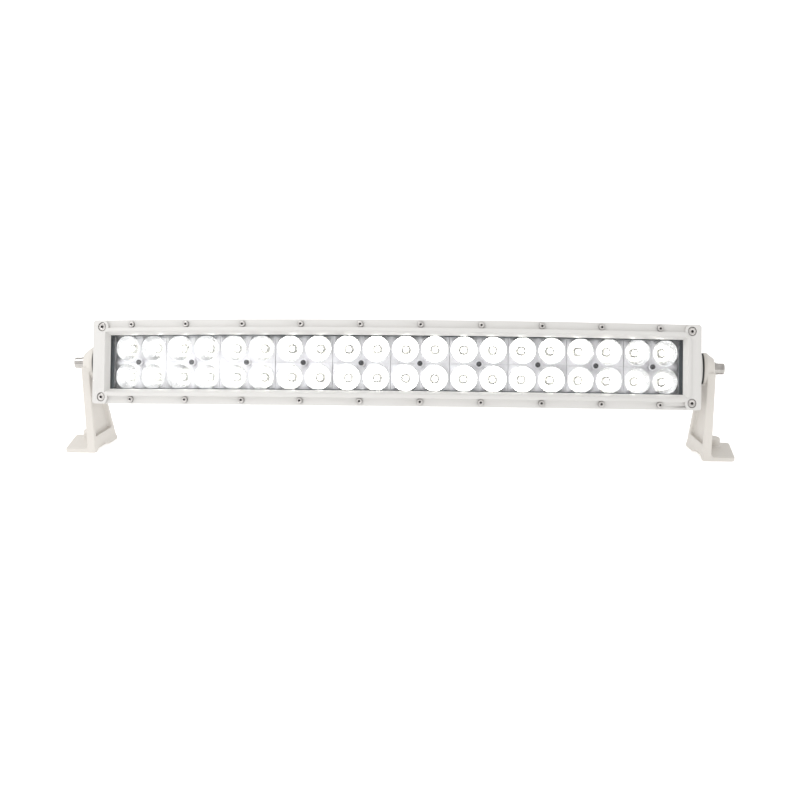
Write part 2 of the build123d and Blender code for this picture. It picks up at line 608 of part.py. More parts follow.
def bracket():
    """Bracket for the +X end, drawn about the tilt axis."""
    front = -HUB_RADIUS
    back = front + ARM_BASE_DEPTH
    thickness = ARM_THICKNESS / math.cos(END_ANGLE)
    face = HUB_FACE - ARM_INSET
    inner, outer = arm_plan(face), arm_plan(face + thickness)
    floor = -PIVOT_HEIGHT

    side_view = Polygon((front, floor), (back, floor), (ARM_NECK_BACK, -HUB_RADIUS / 2),
                        (ARM_NECK_BACK, 0), (front, 0), align=None)
    prism = Plane.YZ * side_view
    plan = Polygon((inner(front), front), (outer(front), front),
                   (outer(back), back), (inner(back), back), align=None)
    arm = extrude(prism, FOOT_REACH) & Pos(0, 0, floor) * extrude(plan, PIVOT_HEIGHT)

    pocket_view = Polygon((front + ARM_RIM, floor + ARM_POCKET_FLOOR),
                          (arm_back(floor + ARM_POCKET_FLOOR, back, floor) - ARM_RIM,
                           floor + ARM_POCKET_FLOOR),
                          (arm_back(floor + ARM_POCKET_TOP, back, floor) - ARM_RIM,
                           floor + ARM_POCKET_TOP),
                          (front + ARM_RIM, floor + ARM_POCKET_TOP), align=None)
    pocket_view = fillet(pocket_view.vertices(), 2)
    deep = arm_plan(face + ARM_POCKET / math.cos(END_ANGLE))
    near = arm_plan(face - ARM_POCKET)
    sheet = Polygon((near(front), front), (deep(front), front), (deep(back), back),
                    (near(back), back), align=None)
    arm -= extrude(Plane.YZ * pocket_view, FOOT_REACH) & Pos(0, 0, floor) * extrude(sheet,
                                                                                 PIVOT_HEIGHT)

    foot_plan = Polygon((inner(front), front), (FOOT_REACH, front),
                        (FOOT_REACH, back), (inner(back), back), align=None)
    foot_plan = fillet(foot_plan.vertices().group_by(Axis.X)[-1], FOOT_CORNER)
    foot = Pos(0, 0, floor) * extrude(foot_plan, FOOT_THICKNESS)
    body = arm + foot
    body = round_heel(body, outer)
    foot_bolt = Pos(FOOT_BOLT_HALF_SPACING, FOOT_BOLT_BEHIND_AXIS, floor)
    boss = Pos(0, 0, FOOT_BOSS_HEIGHT / 2) * Cylinder(FOOT_BOSS_RADIUS, FOOT_BOSS_HEIGHT)
    body += foot_bolt * fillet(boss.edges().group_by(Axis.Z)[-1], FOOT_BOSS_EDGE)

    arch_radius = (ARCH_WIDTH ** 2 / 4 + ARCH_HEIGHT ** 2) / (2 * ARCH_HEIGHT)
    arch_y = front + ARCH_FRONT + ARCH_WIDTH / 2
    arch = Pos(0, arch_y, floor + ARCH_HEIGHT - arch_radius) * Rot(0, 90, 0) * Cylinder(
        arch_radius, 2 * FOOT_REACH)
    shelf = arm_plan(face + ARM_THICKNESS / 2)
    under_arm = Polygon((near(front), front), (shelf(front), front), (shelf(back), back),
                        (near(back), back), align=None)
    body -= arch & Pos(0, 0, floor - 1) * extrude(under_arm, PIVOT_HEIGHT)
    body -= foot_bolt * Cylinder(INSERT_RADIUS, 2 * INSERT_LENGTH)

    rim = Pos(HUB_FACE + HUB_RIM / 2, 0, 0) * Rot(0, 90, 0) * Cylinder(HUB_RADIUS, HUB_RIM)
    nose_length = HUB_LENGTH - HUB_RIM
    nose = Pos(HUB_NOSE - nose_length / 2, 0, 0) * Rot(0, 90, 0) * Cone(HUB_RADIUS, HUB_NOSE_RADIUS,
                                                                       nose_length)
    body += rim + nose
    sweep = HUB_RADIUS + BOSS_CLEARANCE
    body -= Pos(HUB_FACE - FOOT_THICKNESS, 0, 0) * Rot(0, 90, 0) * Cylinder(sweep,
                                                                          2 * FOOT_THICKNESS)
    bore = Cylinder(PIVOT_SCREW[0] + RUNNING_CLEARANCE, 4 * HUB_LENGTH)
    return body - Pos(HUB_FACE, 0, 0) * Rot(0, 90, 0) * bore


def arm_back(height, back, floor):
    """Y of the arm's back edge at a height."""
    share = (height - floor) / (-HUB_RADIUS / 2 - floor)
    return back + share * (ARM_NECK_BACK - back)


def round_heel(body, outer):
    """Fillet between the arm's outer face and the top of the foot."""
    top = FOOT_THICKNESS - PIVOT_HEIGHT
    heel = [edge for edge in body.edges()
            if abs(edge.center().Z - top) < 0.01 and abs(edge.center().X - outer(edge.center().Y)) < 0.1]
    return fillet(heel, FOOT_CORNER)


def thread_insert():
    """Steel insert pressed into the foot's boss from below, standing on Z = 0."""
    body = Pos(0, 0, INSERT_LENGTH / 2) * Cylinder(INSERT_RADIUS, INSERT_LENGTH)
    body = chamfer(body.edges(), INSERT_CHAMFER)
    return body - Cylinder(INSERT_THREAD_RADIUS, 4 * INSERT_LENGTH)


# ---- pivot hardware -------------------------------------------------------------------

def turned(start, length, radius, bore):
    """Ring about the tilt axis that starts at an X and runs outwards."""
    ring = Cylinder(radius, length) - Cylinder(bore, length + 1)
    return Pos(start + length / 2, 0, 0) * Rot(0, 90, 0) * ring


def pair(shape):
    return [shape, mirrored(shape)]


def main():
    save("front_bezel", [posed(bezel())])
    save("lens", [posed(lens())])
    save("lens_seal", [posed(lens_seal())])

    ends = [-1] + [0] * (MODULE_COUNT - 2) + [1]
    save("reflectors", [posed(station(a, REFLECTOR_DEPTH) * reflector_module(end))
                        for a, end in zip(MODULE_ANGLES, ends)])
    board, lamp = led_board(), led_package()
    save("led_boards", [posed(station(a, BOARD_DEPTH) * board) for a in MODULE_ANGLES])
    save("led_lamps", [posed(station(a, BOARD_DEPTH) * Pos(x, y, 0) * lamp)
                       for a in MODULE_ANGLES for x, y in lamp_offsets()])
    save("thermal_pads", [posed(pad) for pad in thermal_pads()])
    screw = socket_screw(MODULE_SCREW, WALL_DEPTH - MODULE_SEAT + MODULE_SCREW_GRIP)
    save("reflector_screws", [posed(station(a, MODULE_SEAT) * screw) for a in MODULE_ANGLES])

    save("housing", [posed(housing())])
    save("left_end_cap", [posed(mirrored(end_cap()))])
    save("right_end_cap", [posed(end_cap())])
    save("left_end_seal", [posed(mirrored(end_seal()))])
    save("right_end_seal", [posed(end_seal())])

    screw = socket_screw(RAIL_SCREW, BEZEL_DEPTH - LEDGE_LEVEL + RAIL_SCREW_GRIP)
    save("bezel_rail_screws", [posed(place * screw) for place in rail_screw_places()])
    length = BEZEL_DEPTH - STRIP_LEVEL - CORNER_SCREW_SINK + CORNER_SCREW_GRIP
    screw = socket_screw(CORNER_SCREW, length)
    save("bezel_corner_screws", [posed(place * screw) for place in corner_screw_places()])
    screw = socket_screw(CAP_SCREW, CAP_LENGTH + CAP_SEAL + CAP_SCREW_GRIP, countersunk=True)
    save("end_cap_screws", [posed(place * screw) for side in SIDES for place in cap_screw_places(side)])

    save("driver_boards", [posed(piece) for piece in driver_boards()])
    coil = Pos(0, 0, COIL_HEIGHT / 2) * (Cylinder(COIL_RADIUS, COIL_HEIGHT)
                                         - Cylinder(0.3 * COIL_RADIUS, COIL_HEIGHT + 1))
    save("driver_coils", [posed(piece) for piece in on_drivers(coil, COIL_PLACES)])
    can = Pos(0, 0, CAPACITOR_LENGTH / 2) * Cylinder(CAPACITOR_RADIUS, CAPACITOR_LENGTH)
    can = fillet(can.edges().group_by(Axis.Z)[-1], 0.6)
    save("driver_capacitors", [posed(piece) for piece in on_drivers(can, CAPACITOR_PLACES)])
    chip = Pos(0, 0, CHIP_SIZE[2] / 2) * Box(*CHIP_SIZE)
    save("driver_chips", [posed(piece) for piece in on_drivers(chip, ((0, 0),))])

    save_gland_and_vent()
    save_tilt_joint()

    foot = Pos(0, -FOOT_BOLT_BEHIND_AXIS, PIVOT_HEIGHT)
    side_bracket = foot * bracket()
    save("left_bracket", [mirrored(side_bracket)])
    save("right_bracket", [side_bracket])
    insert = Pos(FOOT_BOLT_HALF_SPACING, 0, 0) * thread_insert()
    save("left_thread_insert", [mirrored(insert)])
    save("right_thread_insert", [insert])


def save_gland_and_vent():
    """Gland body, its seal and its cap nut, and the breather beside it."""
    place = on_block(-GLAND_OFFSET)
    thread = BLOCK_BACK - DUCT_BACK - THREAD_SHORTFALL
    hexagon = extrude(RegularPolygon(GLAND_HEX / 2, 6, major_radius=False), GLAND_FLANGE)
    neck_radius = GLAND_SEAL_RADIUS + GLAND_NECK_WALL
    neck = Pos(0, 0, GLAND_FLANGE + GLAND_NECK / 2) * Cylinder(neck_radius, GLAND_NECK)
    body = hexagon + neck + Pos(0, 0, -thread / 2) * Cylinder(GLAND_THREAD_RADIUS, thread)
    body -= Cylinder(GLAND_SEAL_RADIUS, 4 * (thread + GLAND_CAP_LENGTH))
    save("cable_gland", [posed(place * body)])
    seal_length = GLAND_FLANGE + GLAND_NECK + GLAND_SEAL_PROUD
    seal = Pos(0, 0, seal_length / 2) * (Cylinder(GLAND_SEAL_RADIUS, seal_length)
                                         - Cylinder(GLAND_CABLE_RADIUS, seal_length + 1))
    save("gland_seal", [posed(place * seal)])
    shell = extrude(RegularPolygon(GLAND_HEX / 2, 6, major_radius=False), GLAND_CAP_LENGTH)
    dome = Pos(0, 0, GLAND_CAP_LENGTH / 2) * Cylinder(GLAND_HEX / 2 + CORNER_RELIEF, GLAND_CAP_LENGTH)
    dome = fillet(dome.edges().group_by(Axis.Z)[-1], GLAND_CAP_CROWN)
    shell &= dome
    shell -= Cylinder(neck_radius, 2 * GLAND_NECK)
    shell -= Cylinder(GLAND_SEAL_RADIUS, 2 * (GLAND_NECK + GLAND_SEAL_PROUD))
    shell -= Cylinder(GLAND_CABLE_RADIUS, 4 * GLAND_CAP_LENGTH)
    save("gland_cap_nut", [posed(place * Pos(0, 0, GLAND_FLANGE) * shell)])

    place = on_block(GLAND_OFFSET)
    vent = Pos(0, 0, VENT_HEIGHT / 2) * Cylinder(VENT_RADIUS, VENT_HEIGHT)
    vent = fillet(vent.edges().group_by(Axis.Z)[-1], 1.2)
    vent += Pos(0, 0, -thread / 2) * Cylinder(VENT_THREAD_RADIUS, thread)
    vent -= Cylinder(MEMBRANE_RADIUS - MEMBRANE_SEAT, 4 * thread)
    vent -= Pos(0, 0, VENT_HEIGHT) * Cylinder(MEMBRANE_RADIUS, 2 * VENT_MOUTH_DEPTH)
    save("breather_vent", [posed(place * vent)])
    ledge = VENT_HEIGHT - VENT_MOUTH_DEPTH
    membrane = Pos(0, 0, ledge + MEMBRANE_THICKNESS / 2) * Cylinder(
        MEMBRANE_RADIUS - THREAD_CLEARANCE, MEMBRANE_THICKNESS)
    save("vent_membrane", [posed(place * membrane)])


def save_tilt_joint():
    """Pads, bolts and washers that hold the brackets to the end caps."""
    bore = PIVOT_SCREW[0] + RUNNING_CLEARANCE
    save("pivot_pads", [posed(s) for s in pair(turned(BOSS_FACE, JOINT_PAD, BOSS_RADIUS, bore))])
    washer = turned(HUB_NOSE, WASHER_THICKNESS, WASHER_RADIUS, bore)
    save("pivot_washers", [posed(s) for s in pair(washer)])
    spring_start = HUB_NOSE + WASHER_THICKNESS
    spring = turned(spring_start, SPRING_THICKNESS, SPRING_RADIUS, bore)
    slit = Pos(spring_start + SPRING_THICKNESS / 2, 0, SPRING_RADIUS) * Box(
        2 * SPRING_THICKNESS, SPRING_SLIT, SPRING_RADIUS)
    save("pivot_spring_washers", [posed(s) for s in pair(spring - slit)])
    seat = spring_start + SPRING_THICKNESS
    length = seat - BOSS_FACE + PIVOT_SCREW_GRIP
    screw = Pos(seat, 0, 0) * Rot(0, 90, 0) * socket_screw(PIVOT_SCREW, length)
    save("pivot_bolts", [posed(s) for s in pair(screw)])


main()
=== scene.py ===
import json
import math

import bpy
from mathutils import Matrix, Vector

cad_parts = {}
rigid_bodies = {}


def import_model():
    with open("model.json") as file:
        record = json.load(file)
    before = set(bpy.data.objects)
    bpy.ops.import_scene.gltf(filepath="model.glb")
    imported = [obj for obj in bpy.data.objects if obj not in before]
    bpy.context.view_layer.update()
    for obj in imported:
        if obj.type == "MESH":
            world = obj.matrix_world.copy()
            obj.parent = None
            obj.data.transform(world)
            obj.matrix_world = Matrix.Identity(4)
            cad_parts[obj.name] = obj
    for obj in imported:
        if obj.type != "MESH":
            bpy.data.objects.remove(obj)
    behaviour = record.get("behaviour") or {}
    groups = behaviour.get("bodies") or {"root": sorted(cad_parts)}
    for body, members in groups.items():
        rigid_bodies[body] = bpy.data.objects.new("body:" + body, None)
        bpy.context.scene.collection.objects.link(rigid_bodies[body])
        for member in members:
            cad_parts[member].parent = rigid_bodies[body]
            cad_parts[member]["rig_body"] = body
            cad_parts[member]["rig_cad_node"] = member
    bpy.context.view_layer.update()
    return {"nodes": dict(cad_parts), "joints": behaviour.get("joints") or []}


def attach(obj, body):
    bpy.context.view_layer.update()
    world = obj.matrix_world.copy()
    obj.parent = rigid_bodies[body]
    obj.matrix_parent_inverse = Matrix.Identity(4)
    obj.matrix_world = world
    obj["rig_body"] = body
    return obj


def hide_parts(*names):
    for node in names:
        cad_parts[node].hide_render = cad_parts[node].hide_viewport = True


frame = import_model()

nodes = frame["nodes"]

# ---- camera -----------------------------------------------------------------------------
# Looks at the bar from a little to its right and above, from about 1.4 m away.
# It leans by less than a degree, as a camera held by hand does.

view_azimuth = math.radians(4.24)
view_elevation = math.radians(18.14)
view_lean = math.radians(-0.73)
view_distance = 1.355
view_target = Vector((0, -0.0275, 0.07))
back = Vector((math.sin(view_azimuth) * math.cos(view_elevation),
               -math.cos(view_azimuth) * math.cos(view_elevation),
               math.sin(view_elevation)))
right = Vector((math.cos(view_azimuth), math.sin(view_azimuth), 0))
up = back.cross(right)
side = right * math.cos(view_lean) + up * math.sin(view_lean)
camera_data = bpy.data.cameras.new("camera")
camera_data.lens = 67.5
camera_data.shift_x = 0.0071
camera_data.shift_y = -0.0213
camera = bpy.data.objects.new("camera", camera_data)
turn = Matrix((side, back.cross(side), back)).transposed().to_4x4()
camera.matrix_world = Matrix.Translation(view_target + back * view_distance) @ turn
bpy.context.scene.collection.objects.link(camera)
bpy.context.scene.camera = camera

# ---- studio -----------------------------------------------------------------------------
# A white floor under and behind the bar, in a white room, with a soft box overhead and a
# weaker one in front, both to the bar's left.

bpy.context.scene.view_settings.view_transform = "Standard"
room = bpy.data.worlds.new("room")
room.use_nodes = True
room.node_tree.nodes["Background"].inputs["Color"].default_value = (1.0, 0.995, 0.985, 1)
room.node_tree.nodes["Background"].inputs["Strength"].default_value = 0.88
bpy.context.scene.world = room


def soft_box(name, place, aim, size, watts):
    data = bpy.data.lights.new(name, "AREA")
    data.shape = "DISK"
    data.size = size
    data.energy = watts
    lamp = bpy.data.objects.new(name, data)
    lamp.location = place
    lamp.rotation_euler = (Vector(aim) - Vector(place)).to_track_quat("-Z", "Y").to_euler()
    bpy.context.scene.collection.objects.link(lamp)


soft_box("soft_box_top", (-0.7, -0.3, 1.4), (0, 0, 0.05), 0.9, 7.0)
soft_box("soft_box_front", (-1.2, -1.5, 0.9), (0, 0, 0.06), 0.9, 2.5)

bpy.ops.object.select_all(action="DESELECT")
bpy.ops.mesh.primitive_plane_add(size=80, location=(0, 0, 0))
floor = bpy.context.object
floor.name = "floor"
floor_paint = bpy.data.materials.new("floor_paint")
floor_paint.use_nodes = True
floor_shader = floor_paint.node_tree.nodes["Principled BSDF"]
floor_shader.inputs["Base Color"].default_value = (0.93, 0.93, 0.93, 1)
floor_shader.inputs["Roughness"].default_value = 0.9
floor_shader.inputs["Emission Color"].default_value = (1, 1, 1, 1)
floor_shader.inputs["Emission Strength"].default_value = 0.42
floor.data.materials.append(floor_paint)

# ---- housing ----------------------------------------------------------------------------
# An extruded and bent aluminium body with fins behind, cut to length and powder coated
# white. The coat has a fine orange peel and picks up a little grey dust.


def add_node(tree, kind, settings=None, **inputs):
    """One shader node, with its settings and its unlinked sockets."""
    made = tree.nodes.new(kind)
    for name, value in (settings or {}).items():
        setattr(made, name, value)
    for name, value in inputs.items():
        made.inputs[name.replace("_", " ")].default_value = value
    return made


def effect(name, colours=(), values=(), out=("Colour", "Roughness", "Height")):
    """An empty shader node group, with its named inputs and outputs."""
    tree = bpy.data.node_groups.new(name, "ShaderNodeTree")
    for socket, default in colours:
        made = tree.interface.new_socket(socket, in_out="INPUT", socket_type="NodeSocketColor")
        made.default_value = default
    for socket, default in values:
        made = tree.interface.new_socket(socket, in_out="INPUT", socket_type="NodeSocketFloat")
        made.default_value = default
    for socket in out:
        kind = "NodeSocketColor" if socket == "Colour" else "NodeSocketFloat"
        tree.interface.new_socket(socket, in_out="OUTPUT", socket_type=kind)
    return tree, tree.nodes.new("NodeGroupInput"), tree.nodes.new("NodeGroupOutput")


def powder_coat_effect():
    """Orange peel with small pits, and faint clouds of grey."""
    tree, given, result = effect(
        "powder_coat", [("Colour", (0.8, 0.8, 0.8, 1)), ("Dust Colour", (0.5, 0.48, 0.45, 1))],
        [("Peel Scale", 900), ("Roughness", 0.4), ("Dust", 0.1)])
    place = add_node(tree, "ShaderNodeTexCoord").outputs["Object"]
    peel = add_node(tree, "ShaderNodeTexNoise", Detail=2, Roughness=0.5)
    cloud = add_node(tree, "ShaderNodeTexNoise", Scale=28, Detail=6, Roughness=0.65)
    speck = add_node(tree, "ShaderNodeTexVoronoi", Scale=420)
    for texture in (peel, cloud, speck):
        tree.links.new(place, texture.inputs["Vector"])
    tree.links.new(given.outputs["Peel Scale"], peel.inputs["Scale"])
    spread = add_node(tree, "ShaderNodeMapRange", From_Min=0.42, From_Max=0.8)
    tree.links.new(cloud.outputs["Fac"], spread.inputs["Value"])
    dusty = add_node(tree, "ShaderNodeMath", {"operation": "MULTIPLY"})
    tree.links.new(spread.outputs["Result"], dusty.inputs[0])
    tree.links.new(given.outputs["Dust"], dusty.inputs[1])
    tint = add_node(tree, "ShaderNodeMix", {"data_type": "RGBA"})
    tree.links.new(dusty.outputs[0], tint.inputs["Factor"])
    tree.links.new(given.outputs["Colour"], tint.inputs["A"])
    tree.links.new(given.outputs["Dust Colour"], tint.inputs["B"])
    tree.links.new(tint.outputs["Result"], result.inputs["Colour"])
    rough = add_node(tree, "ShaderNodeMath", {"operation": "MULTIPLY_ADD"})
    rough.inputs[1].default_value = 0.16
    tree.links.new(cloud.outputs["Fac"], rough.inputs[0])
    tree.links.new(given.outputs["Roughness"], rough.inputs[2])
    tree.links.new(rough.outputs[0], result.inputs["Roughness"])
    pit = add_node(tree, "ShaderNodeMapRange", From_Min=0.0, From_Max=0.12, To_Min=-0.6, To_Max=0)
    tree.links.new(speck.outputs["Distance"], pit.inputs["Value"])
    high = add_node(tree, "ShaderNodeMath", {"operation": "ADD"})
    tree.links.new(peel.outputs["Fac"], high.inputs[0])
    tree.links.new(pit.outputs["Result"], high.inputs[1])
    tree.links.new(high.outputs[0], result.inputs["Height"])
    return tree


powder_coat = powder_coat_effect()


def finish(name, grain, depth, values, **sockets):
    """A material whose colour, roughness and bump come from one effect."""
    made = bpy.data.materials.new(name)
    made.use_nodes = True
    tree = made.node_tree
    shader = tree.nodes["Principled BSDF"]
    surface = tree.nodes.new("ShaderNodeGroup")
    surface.node_tree = grain
    for socket, value in values.items():
        surface.inputs[socket].default_value = value
    for socket, value in sockets.items():
        shader.inputs[socket.replace("_", " ")].default_value = value
    bump = add_node(tree, "ShaderNodeBump", Distance=depth)
    tree.links.new(surface.outputs["Colour"], shader.inputs["Base Color"])
    tree.links.new(surface.outputs["Roughness"], shader.inputs["Roughness"])
    tree.links.new(surface.outputs["Height"], bump.inputs["Height"])
    tree.links.new(bump.outputs["Normal"], shader.inputs["Normal"])
    return made


def dress(name, *finishes):
    """Give a CAD node its finish, in place of the plain one it came with."""
    nodes[name].data.materials.clear()
    for made in finishes:
        nodes[name].data.materials.append(made)


white_coat = finish("white_coat", powder_coat, 0.00003,
                    {"Colour": (0.66, 0.65, 0.635, 1), "Peel Scale": 900, "Roughness": 0.30,
                     "Dust": 0.10}, Coat_Weight=0.15, Coat_Roughness=0.25)
dress("housing", white_coat)

# ---- end caps and their seals -----------------------------------------------------------
# Die-cast caps in the same coat, screwed to the housing over thin black rubber seals.

dress("left_end_cap", white_coat)
dress("right_end_cap", white_coat)


def moulded_effect():
    """Fine stipple of a spark-eroded mould, with slight patches of wear."""
    tree, given, result = effect("moulded", [("Colour", (0.05, 0.05, 0.05, 1))],
                                 [("Stipple Scale", 1500), ("Roughness", 0.6)])
    place = add_node(tree, "ShaderNodeTexCoord").outputs["Object"]
    stipple = add_node(tree, "ShaderNodeTexNoise", Detail=3, Roughness=0.6)
    patch = add_node(tree, "ShaderNodeTexNoise", Scale=60, Detail=4)
    for texture in (stipple, patch):
        tree.links.new(place, texture.inputs["Vector"])
    tree.links.new(given.outputs["Stipple Scale"], stipple.inputs["Scale"])
    shade = add_node(tree, "ShaderNodeMapRange", From_Min=0.3, From_Max=0.7, To_Min=0.8, To_Max=1.2)
    tree.links.new(patch.outputs["Fac"], shade.inputs["Value"])
    tint = add_node(tree, "ShaderNodeVectorMath", {"operation": "SCALE"})
    tree.links.new(given.outputs["Colour"], tint.inputs[0])
    tree.links.new(shade.outputs["Result"], tint.inputs["Scale"])
    tree.links.new(tint.outputs["Vector"], result.inputs["Colour"])
    rough = add_node(tree, "ShaderNodeMath", {"operation": "MULTIPLY"})
    tree.links.new(given.outputs["Roughness"], rough.inputs[0])
    tree.links.new(shade.outputs["Result"], rough.inputs[1])
    tree.links.new(rough.outputs[0], result.inputs["Roughness"])
    tree.links.new(stipple.outputs["Fac"], result.inputs["Height"])
    return tree


moulded = moulded_effect()
seal_rubber = finish("seal_rubber", moulded, 0.00002,
                     {"Colour": (0.055, 0.07, 0.08, 1), "Stipple Scale": 1200, "Roughness": 0.75})
for name in ("left_end_seal", "right_end_seal", "lens_seal", "gland_seal"):
    dress(name, seal_rubber)

# ---- driver, in the duct behind the lamps -----------------------------------------------
# Four green boards with wound coils, aluminium cans and black chips.

solder_mask = finish("solder_mask", moulded, 0.00001,
                     {"Colour": (0.01, 0.16, 0.05, 1), "Stipple Scale": 500, "Roughness": 0.3})
ferrite = finish("ferrite", moulded, 0.00004,
                 {"Colour": (0.05, 0.05, 0.055, 1), "Stipple Scale": 900, "Roughness": 0.7})
chip_epoxy = finish("chip_epoxy", moulded, 0.00002,
                    {"Colour": (0.015, 0.015, 0.016, 1), "Stipple Scale": 2000, "Roughness": 0.5})
pad_silicone = finish("pad_silicone", moulded, 0.00002,
                      {"Colour": (0.32, 0.33, 0.36, 1), "Stipple Scale": 700, "Roughness": 0.8})
dress("driver_boards", solder_mask)
dress("driver_coils", ferrite)
dress("driver_chips", chip_epoxy)
dress("thermal_pads", pad_silicone)


def drawn_metal_effect():
    """Fine lines of turning or drawing along one axis, and soft stains."""
    tree, given, result = effect("drawn_metal", [("Colour", (0.5, 0.5, 0.5, 1))],
                                 [("Line Scale", 2500), ("Stretch", 0.03), ("Roughness", 0.35)])
    place = add_node(tree, "ShaderNodeTexCoord").outputs["Object"]
    squeeze = add_node(tree, "ShaderNodeCombineXYZ", Y=1, Z=1)
    tree.links.new(given.outputs["Stretch"], squeeze.inputs["X"])
    along = add_node(tree, "ShaderNodeVectorMath", {"operation": "MULTIPLY"})
    tree.links.new(place, along.inputs[0])
    tree.links.new(squeeze.outputs["Vector"], along.inputs[1])
    lines = add_node(tree, "ShaderNodeTexNoise", Detail=3, Roughness=0.7)
    tree.links.new(along.outputs["Vector"], lines.inputs["Vector"])
    tree.links.new(given.outputs["Line Scale"], lines.inputs["Scale"])
    stain = add_node(tree, "ShaderNodeTexNoise", Scale=180, Detail=5)
    tree.links.new(place, stain.inputs["Vector"])
    shade = add_node(tree, "ShaderNodeMapRange", From_Min=0.3, From_Max=0.75, To_Min=0.75, To_Max=1.15)
    tree.links.new(stain.outputs["Fac"], shade.inputs["Value"])
    tint = add_node(tree, "ShaderNodeVectorMath", {"operation": "SCALE"})
    tree.links.new(given.outputs["Colour"], tint.inputs[0])
    tree.links.new(shade.outputs["Result"], tint.inputs["Scale"])
    tree.links.new(tint.outputs["Vector"], result.inputs["Colour"])
    rough = add_node(tree, "ShaderNodeMath", {"operation": "MULTIPLY"})
    tree.links.new(given.outputs["Roughness"], rough.inputs[0])
    tree.links.new(shade.outputs["Result"], rough.inputs[1])
    tree.links.new(rough.outputs[0], result.inputs["Roughness"])
    tree.links.new(lines.outputs["Fac"], result.inputs["Height"])
    return tree


drawn_metal = drawn_metal_effect()
can_aluminium = finish("can_aluminium", drawn_metal, 0.00001,
                       {"Colour": (0.72, 0.73, 0.75, 1), "Roughness": 0.3}, Metallic=1.0)
dress("driver_capacitors", can_aluminium)

# ---- lamp boards and lamps --------------------------------------------------------------
# White aluminium-core boards, each with four lamps: a white ceramic base under a domed
# silicone lens, lit.

board_white = finish("board_white", moulded, 0.00001,
                     {"Colour": (0.78, 0.78, 0.76, 1), "Stipple Scale": 900, "Roughness": 0.35})
dress("led_boards", board_white)

pivot = Vector(frame["joints"][0]["pos_m"])
arc_radius = 1.0
column_pitch = 0.0254
columns = 20
cup_mouth_depth = 0.0127
cup_length = 0.0103
end_margin = 0.0165
pivot_depth = 0.028
rest_tilt = math.radians(-20)
cell_angle = column_pitch / (arc_radius - cup_mouth_depth - cup_length / 2)
end_angle = columns * cell_angle / 2 + end_margin / arc_radius
arc_centre = (arc_radius - pivot_depth) * math.cos(end_angle)
module_columns = 2


def on_bar(angle, depth, across=0.0, height=0.0):
    """Place on the bar with Z out of its front, X along it and Y up, at an arc angle."""
    radius = arc_radius - depth
    spot = Vector((radius * math.sin(angle), arc_centre - radius * math.cos(angle), 0))
    along = Vector((math.cos(angle), math.sin(angle), 0))
    out = Vector((math.sin(angle), -math.cos(angle), 0))
    turned = Matrix((along, Vector((0, 0, 1)), out)).transposed().to_4x4()
    posed = Matrix.Translation(pivot) @ Matrix.Rotation(rest_tilt, 4, "X")
    return posed @ Matrix.Translation(spot) @ turned @ Matrix.Translation((across, height, 0))


def module_spots(depth, across=0.0, height=0.0):
    """A place on each of the ten lamp boards, at a depth behind the front."""
    modules = columns // module_columns
    return [on_bar((module - (modules - 1) / 2) * module_columns * cell_angle, depth, across, height)
            for module in range(modules)]


def lamp_spots(depth):
    """Where each of the forty lamps sits, at a depth behind the front."""
    half = column_pitch / 2
    return [spot for x in (-half, half) for y in (-half, half) for spot in module_spots(depth, x, y)]


def repeat(piece, name, spots, body):
    """Copy a piece to each spot and join the copies into one mesh that rides on a body."""
    copies = []
    for spot in spots:
        copy = piece.copy()
        copy.data = piece.data.copy()
        copy.data.transform(spot)
        bpy.context.scene.collection.objects.link(copy)
        copies.append(copy)
    bpy.data.objects.remove(piece)
    bpy.ops.object.select_all(action="DESELECT")
    for copy in copies:
        copy.select_set(True)
    bpy.context.view_layer.objects.active = copies[0]
    bpy.ops.object.join()
    whole = bpy.context.object
    whole.name = name
    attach(whole, body)
    return whole


ceramic = finish("ceramic", moulded, 0.000005,
                 {"Colour": (0.82, 0.80, 0.72, 1), "Stipple Scale": 2500, "Roughness": 0.3})
lamp_glow = bpy.data.materials.new("lamp_glow")
lamp_glow.use_nodes = True
glow_shader = lamp_glow.node_tree.nodes["Principled BSDF"]
for socket, value in (("Base Color", (0.95, 0.9, 0.7, 1)), ("Roughness", 0.15),
                      ("Emission Color", (1.0, 0.975, 0.93, 1)), ("Emission Strength", 34.0)):
    glow_shader.inputs[socket].default_value = value

base_side = 0.005
base_height = 0.001
dome_radius = 0.0021
board_depth = cup_mouth_depth + cup_length
bpy.ops.object.select_all(action="DESELECT")
bpy.ops.mesh.primitive_cube_add(size=1, location=(0, 0, base_height / 2),
                                scale=(base_side, base_side, base_height))
lamp = bpy.context.object
bpy.ops.object.transform_apply(location=True, rotation=True, scale=True)
bpy.ops.object.mode_set(mode="EDIT")
bpy.ops.mesh.select_all(action="SELECT")
bpy.ops.mesh.bevel(offset=0.0002, segments=2)
bpy.ops.mesh.select_all(action="DESELECT")
bpy.ops.mesh.primitive_uv_sphere_add(segments=24, ring_count=12, radius=dome_radius,
                                     location=(0, 0, base_height))
bpy.ops.mesh.bisect(plane_co=(0, 0, base_height), plane_no=(0, 0, -1), clear_outer=True,
                    use_fill=True)
bpy.ops.object.mode_set(mode="OBJECT")
lamp.data.materials.append(ceramic)
lamp.data.materials.append(lamp_glow)
for face in lamp.data.polygons:
    face.material_index = int(face.center.z > base_height * 1.02)
bpy.ops.object.shade_smooth_by_angle(angle=math.radians(40))
lamps = repeat(lamp, "lit_lamps", lamp_spots(board_depth), "light_bar")
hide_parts("led_lamps")

# ---- reflectors -------------------------------------------------------------------------
# Moulded plastic blocks of four deep cups, silvered in vacuum, one block to a board.
# The flat web between the cups is stippled.

